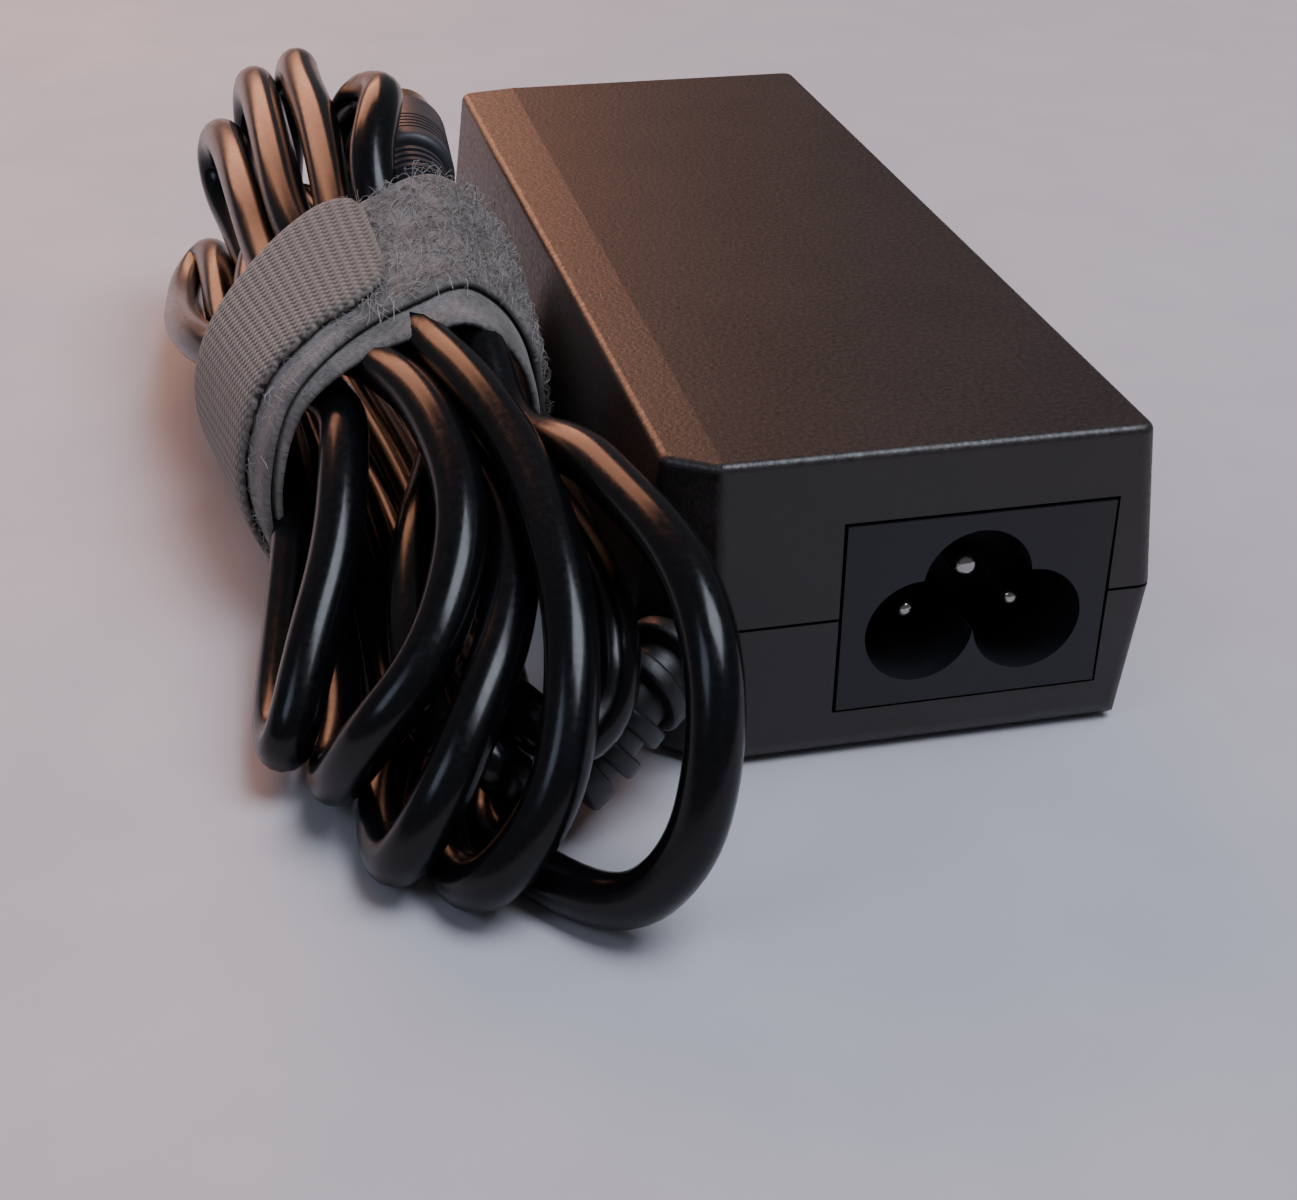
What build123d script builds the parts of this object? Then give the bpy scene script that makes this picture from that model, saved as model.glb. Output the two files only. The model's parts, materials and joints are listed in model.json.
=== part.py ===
from build123d import *

import math
import os

# Laptop power adapter, about 65 W, with its output lead wound into a strapped hank beside it.
# Millimetres. +X across the width, +Y along the length away from the mains inlet, +Z up.
# The origin is the middle of the case's underside.

# Case: two moulded shells that meet at a parting line, where the case is widest.
CASE_LENGTH = 108.0
CASE_WIDTH = 46.0
CASE_HEIGHT = 30.0
TOP_WIDTH = 42.7
BOTTOM_WIDTH = 43.0
END_DRAFT = 0.25
PARTING_Z = 14.3
PARTING_GAP = 0.3
WALL = 2.0
TOP_EDGE_R = 0.8
BOTTOM_EDGE_R = 2.2
CORNER_R = 1.4
LIP_HEIGHT = 1.4
LIP_OFFSET = 1.05
LIP_CLEARANCE = 0.1

# The corner that the output lead leaves by is cut off square to the lead.
FACET_FRONT_X = -16.9
FACET_SIDE_X = -21.6
FACET_SIDE_Y = -50.2

# A shallow bevel runs along one top edge.
BEVEL_FRONT_X = -16.9
BEVEL_BACK_X = -15.0
BEVEL_DROP = 0.28

# Mains inlet, three-lobed, with its own rectangular block set into the end wall.
INLET_X = 6.2
INLET_Z = 14.15
INLET_WIDTH = 24.4
INLET_HEIGHT = 18.3
INLET_GAP = 0.3
INLET_DEPTH = 15.0
RECESS_DEPTH = 12.8
LOBE_R = 5.0
LIVE_PITCH = 10.0
LIVE_Z = 12.3
EARTH_Z = 16.7
LIVE_PIN_R = 0.8
EARTH_PIN_R = 1.2
LIVE_TIP_Y = -50.6
EARTH_TIP_Y = -51.6
TAG_END_Y = -36.0

# Circuit board and the room over and under it.
BOARD_WIDTH = 37.2
BOARD_FRONT_Y = -34.0
BOARD_BACK_Y = 50.0
BOARD_Z = 5.2
BOARD_THICKNESS = 1.6
BOARD_TOP = BOARD_Z + BOARD_THICKNESS
POST_R = 1.6
POST_X = 16.8
POST_INSET = 3.0
SPREADER_THICKNESS = 0.5
FILM_THICKNESS = 0.2

# Output lead: a round two-core lead.
CORD_D = 4.6
CORD_R = CORD_D / 2

# Strain relief, moulded on the lead, from the cut corner down to the floor.
RELIEF_PATH = [(-17.0, -49.3, 12.2), (-23.0, -56.8, 12.2), (-27.8, -58.6, 7.2), (-31.6, -60.2, 5.6)]
RELIEF_CORE_R = 3.0
RELIEF_FLANGE = (4.6, 9.6)
RELIEF_RING_R = (4.4, 4.3, 4.1, 3.9, 3.7, 3.5)
RELIEF_RING_THICKNESS = 1.3

# The lead from the strain relief to the hank, and from the hank to the plug.
LEAD_START = [(-31.6, -60.2, 5.6), (-36.6, -62.3, 3.5), (-41.4, -63.1, 2.6)]
LEAD_END = [(-33.9, 5.0, 32.8), (-32.7, -8.0, 31.4), (-31.4, -21.0, 28.4)]

# Hank: sections along Y as (y, middle x, middle z, width, height, corner radius).
HANK_SECTIONS = [
    (-76.5, -28.0, 11.5, 9.0, 17.0, 4.0),
    (-68.0, -32.0, 14.6, 24.0, 29.0, 8.0),
    (-56.5, -37.2, 15.6, 35.0, 31.0, 9.0),
    (-51.0, -39.9, 15.8, 31.0, 31.0, 9.0),
    (-38.0, -41.0, 16.6, 31.5, 31.0, 9.0),
    (-22.0, -40.6, 19.0, 27.6, 31.4, 12.0),
    (3.0, -40.8, 19.4, 27.6, 32.0, 12.0),
    (14.0, -45.2, 20.2, 29.0, 38.0, 9.0),
    (40.0, -46.6, 20.2, 28.0, 39.6, 9.0),
    (54.0, -47.0, 19.0, 22.0, 34.0, 8.0),
    (61.0, -46.5, 20.0, 12.0, 20.0, 5.0),
]
LEAD_START_NOTCH = (-39.5, -66.0, 7.6)
LEAD_END_NOTCH = (-36.6, -20.0, 25.6)
RELIEF_NOTCHES = [(-36.0, -67.0, 12.9), (-28.0, -66.0, 18.6)]
PLUG_NOTCHES = [(-39.4, 3.0, 24.2), (-37.5, 33.0, 19.0)]

# Hook-and-loop strap round the hank.
STRAP_X = -40.6
STRAP_Z = 19.2
STRAP_OUTER = (34.2, 38.2)
STRAP_THICKNESS = 2.6
STRAP_FRONT_Y = -22.0
STRAP_WIDTH = 24.0
STRAP_CORNER_R = 14.0

# Plug: round barrel, 7.9 mm outside and 5.5 mm inside, with a centre pin.
PLUG_START = (-33.9, 5.0, 32.8)
PLUG_DIRECTION = (0.0965, 0.9906, -0.0965)
PLUG_TAIL_LENGTH = 12.0
PLUG_TAIL_R = 3.3
PLUG_BODY_R = 4.9
PLUG_BODY_LENGTH = 21.0
BARREL_R = 3.95
BARREL_WALL = 0.45
BARREL_LENGTH = 8.5
BARREL_INSIDE_LENGTH = 6.0
INSULATOR_WALL = 0.4
BORE_R = 2.75
BORE_DEPTH = 9.0
CENTRE_PIN_R = 0.45


def tapered_block(width_0, length_0, z_0, width_1, length_1, z_1):
    """A block that narrows evenly from one height to another."""
    low = Plane.XY.offset(z_0) * Rectangle(width_0, length_0)
    high = Plane.XY.offset(z_1) * Rectangle(width_1, length_1)
    return loft([low, high], ruled=True)


def facet_normal():
    """Outward direction of the cut corner, in plan."""
    run_x = FACET_FRONT_X - FACET_SIDE_X
    run_y = -CASE_LENGTH / 2 - FACET_SIDE_Y
    size = math.hypot(run_x, run_y)
    return run_y / size, -run_x / size


def facet_prism(inset):
    """What the cut corner takes away, moved in by inset."""
    normal_x, normal_y = facet_normal()
    along_x, along_y = -normal_y, normal_x
    start_x = FACET_FRONT_X - inset * normal_x
    start_y = -CASE_LENGTH / 2 - inset * normal_y
    corners = [
        (start_x + 30 * along_x, start_y + 30 * along_y),
        (start_x - 30 * along_x, start_y - 30 * along_y),
        (start_x - 30 * along_x + 30 * normal_x, start_y - 30 * along_y + 30 * normal_y),
        (start_x + 30 * along_x + 30 * normal_x, start_y + 30 * along_y + 30 * normal_y),
    ]
    face = make_face(Polyline(*corners, close=True))
    return extrude(Plane.XY.offset(-5) * face, CASE_HEIGHT + 10)


def ring_block(inset, z_0, z_1):
    """The case's plan at the parting line, drawn in by inset, as a straight block."""
    middle = (z_0 + z_1) / 2
    block = Pos(0, 0, middle) * Box(CASE_WIDTH - 2 * inset, CASE_LENGTH - 2 * inset, z_1 - z_0)
    return block - facet_prism(inset)


def slanted_edges(solid):
    """The edges that run up the corners of a shell."""
    return [edge for edge in solid.edges() if abs((edge % 0.5).Z) > 0.6]


def upper_outside():
    """Outside of the upper shell, solid."""
    z_0 = PARTING_Z + PARTING_GAP / 2
    top_length = CASE_LENGTH - 2 * END_DRAFT
    block = tapered_block(CASE_WIDTH, CASE_LENGTH, z_0, TOP_WIDTH, top_length, CASE_HEIGHT)
    block -= facet_prism(0)
    half = CASE_LENGTH
    slope_x = (BEVEL_BACK_X - BEVEL_FRONT_X) / CASE_LENGTH
    near = BEVEL_FRONT_X - slope_x * CASE_LENGTH / 2
    far = BEVEL_BACK_X + slope_x * CASE_LENGTH / 2
    drop = BEVEL_DROP * 2
    reach = -(TOP_WIDTH / 2 - (-BEVEL_FRONT_X)) * 2
    sections = []
    for y, crease in ((-half, near), (half, far)):
        side_x = crease + reach
        points = [(crease, y, CASE_HEIGHT), (side_x, y, CASE_HEIGHT - drop), (side_x, y, CASE_HEIGHT + 3)]
        sections.append(make_face(Polyline(*points, close=True)))
    block -= loft(sections, ruled=True)
    block = fillet(slanted_edges(block), CORNER_R)
    top = [edge for edge in block.edges() if (edge @ 0).Z > 29.3 and (edge @ 1).Z > 29.3]
    rim = [edge for edge in top if not is_crease(edge)]
    return fillet(rim, TOP_EDGE_R)


def is_crease(edge):
    """True for the bevel's inner edge, which lies inside the top face."""
    middle = edge @ 0.5
    on_line = abs(middle.X - (BEVEL_FRONT_X + BEVEL_BACK_X) / 2) < 1.0
    return on_line and edge.length > CASE_LENGTH / 2


def bottom_rounding(x, y, normal_x, normal_y):
    """What rounding the bottom edge under one side takes away. The side passes through (x, y)."""
    radius = BOTTOM_EDGE_R
    middle = (x - normal_x * radius, y - normal_y * radius, radius)
    plane = Plane(origin=middle, x_dir=(normal_x, normal_y, 0), z_dir=(-normal_y, normal_x, 0))
    corner = Pos(5, 5) * Rectangle(10, 10)
    return extrude(plane * (corner - Circle(radius)), CASE_LENGTH, both=True)


def lower_outside():
    """Outside of the lower shell, solid."""
    z_1 = PARTING_Z - PARTING_GAP / 2
    bottom_length = CASE_LENGTH - 2 * END_DRAFT
    block = tapered_block(BOTTOM_WIDTH, bottom_length, 0, CASE_WIDTH, CASE_LENGTH, z_1)
    block -= facet_prism(0)
    block = fillet(slanted_edges(block), CORNER_R)
    share = BOTTOM_EDGE_R / z_1
    side_x = BOTTOM_WIDTH / 2 + share * (CASE_WIDTH - BOTTOM_WIDTH) / 2
    end_y = bottom_length / 2 + share * END_DRAFT
    for side in (-1, 1):
        block -= bottom_rounding(side * side_x, 0, side, 0)
        block -= bottom_rounding(0, side * end_y, 0, side)
    return block - bottom_rounding(FACET_SIDE_X, FACET_SIDE_Y, *facet_normal())


def inlet_window():
    """The opening in the end wall that the inlet block sits in."""
    width = INLET_WIDTH + 2 * INLET_GAP
    height = INLET_HEIGHT + 2 * INLET_GAP
    return Pos(INLET_X, -CASE_LENGTH / 2, INLET_Z) * Box(width, 3 * WALL, height)


def relief_plane():
    """Plane across the strain relief where it passes the wall."""
    normal_x, normal_y = facet_normal()
    middle_x = (FACET_FRONT_X + FACET_SIDE_X) / 2
    middle_y = (-CASE_LENGTH / 2 + FACET_SIDE_Y) / 2
    origin = (middle_x, middle_y, RELIEF_PATH[0][2])
    return Plane(origin=origin, x_dir=(-normal_y, normal_x, 0), z_dir=(normal_x, normal_y, 0))


def relief_hole():
    """Round hole through the cut corner, half in each shell."""
    return extrude(relief_plane() * Circle(RELIEF_CORE_R + 0.15), 4, both=True)


def make_upper_shell():
    """Upper shell: walls, top, and the rebate that takes the lower shell's lip."""
    z_0 = PARTING_Z + PARTING_GAP / 2
    shell = upper_outside()
    inner_top = TOP_WIDTH - 2 * WALL
    inner_length = CASE_LENGTH - 2 * WALL
    hollow = tapered_block(
        CASE_WIDTH - 2 * WALL, inner_length, z_0 - 0.01, inner_top, inner_length - 1, CASE_HEIGHT - WALL
    )
    shell -= hollow - facet_prism(WALL)
    shell -= ring_block(LIP_OFFSET - LIP_CLEARANCE, z_0 - 1, PARTING_Z + LIP_HEIGHT + 0.2)
    shell -= inlet_window()
    return shell - relief_hole()


def make_lower_shell():
    """Lower shell: walls, floor, lip, board posts and the ribs behind the inlet."""
    z_1 = PARTING_Z - PARTING_GAP / 2
    inner_length = CASE_LENGTH - 2 * WALL
    shell = lower_outside()
    hollow = tapered_block(
        BOTTOM_WIDTH - 2 * WALL, inner_length - 1, WALL, CASE_WIDTH - 2 * WALL, inner_length, z_1 + 0.01
    )
    shell -= hollow - facet_prism(WALL)
    lip = ring_block(LIP_OFFSET, z_1 - 0.5, PARTING_Z + LIP_HEIGHT)
    lip -= ring_block(WALL, z_1 - 1, PARTING_Z + LIP_HEIGHT + 1)
    shell += lip
    for x in (-POST_X, POST_X):
        for y in (BOARD_FRONT_Y + POST_INSET, BOARD_BACK_Y - POST_INSET):
            post = Pos(x, y, (WALL + BOARD_Z) / 2 - 0.25) * Cylinder(POST_R, BOARD_Z - WALL + 0.5)
            shell += post
    for side in (-1, 1):
        rib_x = INLET_X + side * 7.0
        shell += Pos(rib_x, -45.0, 3.1) * Box(1.2, 8.0, 3.2)
    shell -= inlet_window()
    return shell - relief_hole()


def make_inlet_housing():
    """Inlet block: front plate, flange behind the wall, body and three-lobed recess."""
    front_y = -CASE_LENGTH / 2
    block = Pos(INLET_X, front_y + 1.2, INLET_Z) * Box(INLET_WIDTH, 2.4, INLET_HEIGHT)
    block += Pos(INLET_X, front_y + WALL + 1.25, INLET_Z) * Box(INLET_WIDTH + 1.8, 1.2, INLET_HEIGHT + 1.6)
    body_length = INLET_DEPTH - 2.4
    block += Pos(INLET_X, front_y + 2.4 + body_length / 2, INLET_Z) * Box(21.6, body_length, 17.0)
    front = Plane(origin=(INLET_X, front_y, 0), x_dir=(1, 0, 0), z_dir=(0, -1, 0))
    lobes = Sketch() + [
        Pos(-LIVE_PITCH / 2, LIVE_Z) * Circle(LOBE_R),
        Pos(LIVE_PITCH / 2, LIVE_Z) * Circle(LOBE_R),
        Pos(0, EARTH_Z) * Circle(LOBE_R),
    ]
    block -= extrude(front * lobes, -RECESS_DEPTH)
    for x, z, radius in pin_places():
        hole = Plane(origin=(x, front_y, z), z_dir=(0, 1, 0)) * Circle(radius)
        block -= extrude(hole, INLET_DEPTH + 1)
    return block


def pin_places():
    """Middle and radius of each inlet pin: line, neutral and earth."""
    return [
        (INLET_X - LIVE_PITCH / 2, LIVE_Z, LIVE_PIN_R),
        (INLET_X + LIVE_PITCH / 2, LIVE_Z, LIVE_PIN_R),
        (INLET_X, EARTH_Z, EARTH_PIN_R),
    ]


def make_inlet_pin(x, z, radius, tip_y):
    """A round pin with a domed tip and a flat solder tag behind."""
    length = TAG_END_Y - tip_y - 3.0
    pin = Pos(x, tip_y + length / 2, z) * Rot(90, 0, 0) * Cylinder(radius, length)
    tip = pin.edges().sort_by(Axis.Y)[0]
    pin = fillet(tip, radius * 0.85)
    return pin + Pos(x, TAG_END_Y - 1.6, z) * Box(radius * 1.5, 3.2, 0.7)


def make_inlet_leads():
    """Three short insulated wires from the inlet's tags down to the board."""
    wires = []
    for (x, z, _), board_x in zip(pin_places(), (3.6, 12.6, 8.1)):
        start = (x, TAG_END_Y + 0.05, z)
        bend = (x, TAG_END_Y + 3.2, z)
        over = (board_x, TAG_END_Y + 4.6, BOARD_TOP + 3.4)
        end = (board_x, TAG_END_Y + 4.8, BOARD_TOP + 0.1)
        path = FilletPolyline(start, bend, over, end, radius=1.1)
        section = Plane(origin=path @ 0, z_dir=path % 0) * Circle(0.7)
        wires.append(sweep(section, path=path))
    return Compound(children=wires)


def on_board(x, y, width, length, height):
    """A block standing on the board."""
    return Pos(x, y, BOARD_TOP + height / 2) * Box(width, length, height)


def make_circuit_board():
    """Board with a hole near each corner for the posts' heat-staked pins."""
    length = BOARD_BACK_Y - BOARD_FRONT_Y
    middle_y = (BOARD_BACK_Y + BOARD_FRONT_Y) / 2
    board = Pos(0, middle_y, BOARD_Z + BOARD_THICKNESS / 2) * Box(BOARD_WIDTH, length, BOARD_THICKNESS)
    board = fillet(board.edges().filter_by(Axis.Z), 1.0)
    for x in (-POST_X, POST_X):
        for y in (BOARD_FRONT_Y + POST_INSET, BOARD_BACK_Y - POST_INSET):
            board -= Pos(x, y, BOARD_Z) * Cylinder(0.8, 8)
    return board


def plate_span():
    """Length and middle of the plates between the two rows of posts."""
    first = BOARD_FRONT_Y + POST_INSET + POST_R + 0.8
    last = BOARD_BACK_Y - POST_INSET - POST_R - 0.8
    return last - first, (first + last) / 2


def make_channel(half_width, z_0, thickness, side_height):
    """A sheet folded up along both long edges."""
    length, middle = plate_span()
    sheet = Pos(0, middle, z_0 + thickness / 2) * Box(2 * half_width, length, thickness)
    for side in (-1, 1):
        wall_x = side * (half_width - thickness / 2)
        sheet += Pos(wall_x, middle, z_0 + side_height / 2) * Box(thickness, length, side_height)
    return sheet


def make_top_spreader():
    """Aluminium plate under the top wall, with a short lip folded down at its inner end."""
    length, middle = plate_span()
    z_0 = CASE_HEIGHT - WALL - SPREADER_THICKNESS - 0.1
    plate = Pos(0, middle, z_0 + SPREADER_THICKNESS / 2) * Box(36.0, length, SPREADER_THICKNESS)
    lip_y = middle + length / 2 - SPREADER_THICKNESS / 2
    return plate + Pos(0, lip_y, z_0 - 1.2) * Box(36.0, SPREADER_THICKNESS, 2.6)


def make_fuse():
    """Square-bodied fuse."""
    return fillet(on_board(15.2, -25.6, 4.0, 8.4, 7.4).edges(), 0.5)


def make_thermistor():
    """Disc thermistor that limits the inrush."""
    disc = Pos(8.2, -27.4, BOARD_TOP + 5.4) * Rot(90, 0, 0) * Cylinder(4.2, 3.4)
    disc = fillet(disc.edges(), 0.8)
    for x in (5.8, 10.6):
        disc += Pos(x, -27.4, BOARD_TOP + 1.6) * Cylinder(0.4, 3.2)
    return disc


def make_x_capacitor():
    """Film capacitor across the mains."""
    return fillet(on_board(11.4, -17.0, 13.0, 6.0, 12.0).edges().filter_by(Axis.Z), 0.6)


def make_choke_core():
    """Ferrite ring of the common-mode choke, standing on the board."""
    ring = Cylinder(7.4, 6.0) - Cylinder(3.6, 8.0)
    return Pos(-4.4, -21.0, BOARD_TOP + 9.2) * Rot(90, 0, 0) * fillet(ring.edges(), 0.5)


def make_choke_winding():
    """Two windings of copper wire, one on each side of the ring."""
    turns = []
    for side in (-1, 1):
        for step in range(-2, 3):
            angle = math.radians(90 * (1 - side) + 24 * step)
            turn = Pos(5.5 * math.cos(angle), 5.5 * math.sin(angle), 0)
            turn *= Rot(0, 0, math.degrees(angle))
            loop = Box(5.8, 1.0, 8.2) - Box(3.9, 2.0, 6.1)
            turns.append(turn * fillet(loop.edges().filter_by(Axis.Y), 0.4))
    return Compound(children=[Pos(-4.4, -21.0, BOARD_TOP + 9.2) * Rot(90, 0, 0) * turn for turn in turns])


def make_bridge_rectifier():
    """Flat four-legged bridge rectifier."""
    body = fillet(on_board(11.6, -10.4, 14.0, 3.4, 11.0).edges().filter_by(Axis.Z), 0.5)
    return Pos(0, 0, 1.6) * body + [
        Pos(11.6 + step * 3.6, -10.4, BOARD_TOP + 1.0) * Box(0.9, 0.5, 2.0) for step in (-1.5, -0.5, 0.5, 1.5)
    ]


def make_bulk_capacitor():
    """Large capacitor lying along the board, with a crimped groove near its sealed end."""
    can = Rot(90, 0, 0) * fillet(Cylinder(7.9, 27.0).edges(), 0.8)
    groove = Rot(90, 0, 0) * (Cylinder(9.0, 1.2) - Cylinder(7.3, 1.4))
    return Pos(10.6, 7.6, BOARD_TOP + 8.0) * (can - Pos(0, -10.4, 0) * groove)


def make_transformer_core():
    """Ferrite core: two legs outside and one through the winding, joined by two yokes."""
    core = Box(27.0, 20.0, 13.0) - Pos(-8.3, 0, 0) * Box(5.4, 14.0, 20.0) - Pos(8.3, 0, 0) * Box(5.4, 14.0, 20.0)
    return Pos(-1.0, 34.0, BOARD_TOP + 9.6) * fillet(core.edges().filter_by(Axis.Z), 0.4)


def make_transformer_winding():
    """Taped winding round the middle leg, with its bobbin's two rails."""
    left = Pos(-8.3, 0, 0) * Box(5.0, 13.6, 17.6)
    right = Pos(8.3, 0, 0) * Box(5.0, 13.6, 17.6)
    over = Pos(0, 0, 7.65) * Box(21.6, 13.6, 2.1)
    under = Pos(0, 0, -7.65) * Box(21.6, 13.6, 2.1)
    coil = (left + right + over + under) - Box(11.4, 20.4, 13.2)
    return Pos(-1.0, 34.0, BOARD_TOP + 9.6) * coil


def make_heatsink(x, y, length, height, foot):
    """Upright aluminium plate with a folded foot."""
    plate = on_board(x, y, 1.2, length, height)
    return plate + Pos(x + foot / 2, y, BOARD_TOP + 0.6) * Box(abs(foot) + 1.2, length, 1.2)


def make_power_package(x, y):
    """Three-legged power package with its metal tab."""
    body = Pos(x, y, BOARD_TOP + 8.4) * Box(4.2, 9.8, 8.6)
    tab = Pos(x, y, BOARD_TOP + 14.6) * Box(1.2, 9.8, 3.8)
    legs = [Pos(x, y + step * 2.54, BOARD_TOP + 2.1) * Box(0.6, 0.8, 4.2) for step in (-1, 0, 1)]
    return body + tab + legs


def make_output_capacitors():
    """Two can capacitors that smooth the output."""
    cans = []
    for y in (-3.4, 6.4):
        can = Pos(-12.6, y, BOARD_TOP + 7.4) * Cylinder(4.1, 14.8)
        can = fillet(can.edges(), 0.5)
        vent = Pos(-12.6, y, BOARD_TOP + 14.7) * (Box(5.2, 0.3, 0.3) + Box(0.3, 5.2, 0.3))
        cans.append(can - vent)
    return Compound(children=cans)


def make_output_choke():
    """Small drum choke with its winding."""
    drum = Cylinder(3.6, 9.0) - (Cylinder(4.0, 6.2) - Cylinder(2.6, 6.2))
    wire = Cylinder(3.2, 6.0) - Cylinder(2.5, 7.0)
    return Pos(-13.4, -13.0, BOARD_TOP + 4.5) * (drum + wire)


def make_optocoupler():
    """Four-legged optocoupler across the isolation gap."""
    return fillet(on_board(-2.6, 6.0, 6.4, 4.6, 3.6).edges().filter_by(Axis.Z), 0.3)


def make_y_capacitor():
    """Disc capacitor across the isolation gap."""
    disc = Pos(-2.6, 16.6, BOARD_TOP + 4.6) * Rot(90, 0, 0) * Cylinder(3.8, 3.0)
    disc = fillet(disc.edges(), 0.8)
    for x in (-5.0, -0.2):
        disc += Pos(x, 16.6, BOARD_TOP + 1.5) * Cylinder(0.35, 3.0)
    return disc


def make_control_chip():
    """Eight-legged control chip."""
    chip = Pos(-2.6, -4.4, BOARD_TOP + 0.9) * Box(4.9, 3.9, 1.5)
    legs = []
    for side in (-1, 1):
        for step in range(4):
            legs.append(Pos(-4.5 + step * 1.27, -4.4 + side * 2.4, BOARD_TOP + 0.4) * Box(0.42, 1.1, 0.8))
    return chip + legs


def rounded_path(points, radii):
    """Straight runs joined by tangent arcs, with one radius for each corner."""
    return FilletPolyline(*points, radius=radii)


def corner_radii(points):
    """The largest tidy arc for each corner of a route."""
    radii = []
    for before, corner, after in zip(points, points[1:], points[2:]):
        run_in = Vector(*corner) - Vector(*before)
        run_out = Vector(*after) - Vector(*corner)
        half_turn = math.radians(run_in.get_angle(run_out) / 2)
        radii.append(0.45 * min(run_in.length, run_out.length) / math.tan(half_turn))
    return radii


def make_tube(points, name):
    """Round lead along a route. Prints its arcs and how its volume compares with its length."""
    radii = corner_radii(points)
    path = rounded_path(points, radii)
    section = Plane(origin=path @ 0, z_dir=path % 0) * Circle(CORD_R)
    tube = sweep(section, path=path)
    expected = math.pi * CORD_R**2 * path.length
    print(name, "radii", [round(radius, 1) for radius in radii], "length", round(path.length, 1))
    print(name, "volume over section times length", round(tube.volume / expected, 4))
    return tube


def make_strain_relief():
    """Neck through the wall, flange behind it, then a bent core with a row of rings."""
    path = rounded_path(RELIEF_PATH, corner_radii(RELIEF_PATH))
    section = Plane(origin=path @ 0, z_dir=path % 0) * Circle(RELIEF_CORE_R)
    relief = sweep(section, path=path)
    relief += extrude(relief_plane().offset(-WALL - 1.7) * Rectangle(*RELIEF_FLANGE), 1.4)
    first = 0.36
    step = (1 - first) / (len(RELIEF_RING_R) - 0.6)
    for index, radius in enumerate(RELIEF_RING_R):
        place = min(first + step * index, 1 - RELIEF_RING_THICKNESS / path.length)
        plane = Plane(origin=path @ place, z_dir=path % place)
        relief += extrude(plane * Circle(radius), RELIEF_RING_THICKNESS)
    return relief


def make_output_leads():
    """Two insulated wires from the strain relief to the board."""
    wires = []
    for shift, board_y in ((-0.9, -22.0), (0.9, -18.4)):
        start = (-17.2 + shift * 0.6, -48.6 - shift * 0.5, 12.2)
        run_x = -15.4 + shift
        points = [start, (run_x - 0.2, -42.0, 12.4), (run_x, -30.0, 12.0), (run_x, board_y - 1, 10.6)]
        points.append((run_x, board_y, BOARD_TOP + 0.3))
        path = FilletPolyline(*points, radius=1.2)
        section = Plane(origin=path @ 0, z_dir=path % 0) * Circle(0.75)
        wires.append(sweep(section, path=path))
    return Compound(children=wires)


def box_from(x_0, x_1, y_0, y_1, z_0, z_1):
    """A box between two corners."""
    size = (x_1 - x_0, y_1 - y_0, z_1 - z_0)
    return Pos((x_0 + x_1) / 2, (y_0 + y_1) / 2, (z_0 + z_1) / 2) * Box(*size)


def make_cord_hank():
    """Outer shape of the wound lead: fanned loops at both ends and a waist in the strap."""
    sections = []
    for y, x, z, width, height, radius in HANK_SECTIONS:
        plane = Plane(origin=(x, y, z), x_dir=(1, 0, 0), z_dir=(0, -1, 0))
        sections.append(plane * RectangleRounded(width, height, radius))
    hank = loft(sections, ruled=True)
    x, y, z = LEAD_START_NOTCH
    hank -= box_from(x, 0, y, -40, -5, z)
    x, y, z = LEAD_END_NOTCH
    hank -= box_from(x, 0, y, 80, z, 60)
    for x, y, z in PLUG_NOTCHES:
        hank -= box_from(x, 0, y, 80, z, 60)
    for x, y, z in RELIEF_NOTCHES:
        hank -= box_from(x, 0, y, -40, -5, z)
    return hank


def make_cable_strap():
    """Closed band of the wrapped strap, its wraps pressed together."""
    plane = Plane(origin=(STRAP_X, STRAP_FRONT_Y, STRAP_Z), x_dir=(1, 0, 0), z_dir=(0, -1, 0))
    width, height = STRAP_OUTER
    outer = RectangleRounded(width, height, STRAP_CORNER_R)
    hole_width = width - 2 * STRAP_THICKNESS
    hole_height = height - 2 * STRAP_THICKNESS
    inner = RectangleRounded(hole_width, hole_height, STRAP_CORNER_R - STRAP_THICKNESS)
    return extrude(plane * (outer - inner), -STRAP_WIDTH)


def plug_plane(distance):
    """Plane across the plug at a distance from its cord end."""
    direction = Vector(*PLUG_DIRECTION).normalized()
    return Plane(origin=Vector(*PLUG_START) + direction * distance, x_dir=(1, 0, 0), z_dir=direction)


def plug_disc(start, length, radius):
    """A round length of the plug."""
    return extrude(plug_plane(start) * Circle(radius), length)


def make_plug_overmould():
    """Moulded grip with a ribbed tail, a groove, and ridges round its body."""
    body = plug_disc(PLUG_TAIL_LENGTH, PLUG_BODY_LENGTH, PLUG_BODY_R)
    body = fillet(body.edges().filter_by(GeomType.CIRCLE), 0.9)
    body += plug_disc(0, PLUG_TAIL_LENGTH + 1, PLUG_TAIL_R)
    for index in range(4):
        body += plug_disc(0.8 + 2.6 * index, 1.3, PLUG_TAIL_R + 0.7)
    for index in range(5):
        start = PLUG_TAIL_LENGTH + 3.4 + 1.6 * index
        body -= plug_disc(start, 0.6, PLUG_BODY_R + 1) - plug_disc(start, 0.6, PLUG_BODY_R - 0.3)
    front = PLUG_TAIL_LENGTH + PLUG_BODY_LENGTH
    return body - plug_disc(front - BARREL_INSIDE_LENGTH, BARREL_INSIDE_LENGTH + 1, BARREL_R)


def make_plug_barrel():
    """Outer contact sleeve with a rounded rim."""
    start = PLUG_TAIL_LENGTH + PLUG_BODY_LENGTH - BARREL_INSIDE_LENGTH
    length = BARREL_INSIDE_LENGTH + BARREL_LENGTH
    sleeve = plug_disc(start, length, BARREL_R) - plug_disc(start, length, BARREL_R - BARREL_WALL)
    rim = sleeve.edges().filter_by(GeomType.CIRCLE).sort_by(Axis.Y)[-2:]
    return fillet(rim, BARREL_WALL * 0.4)


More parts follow.
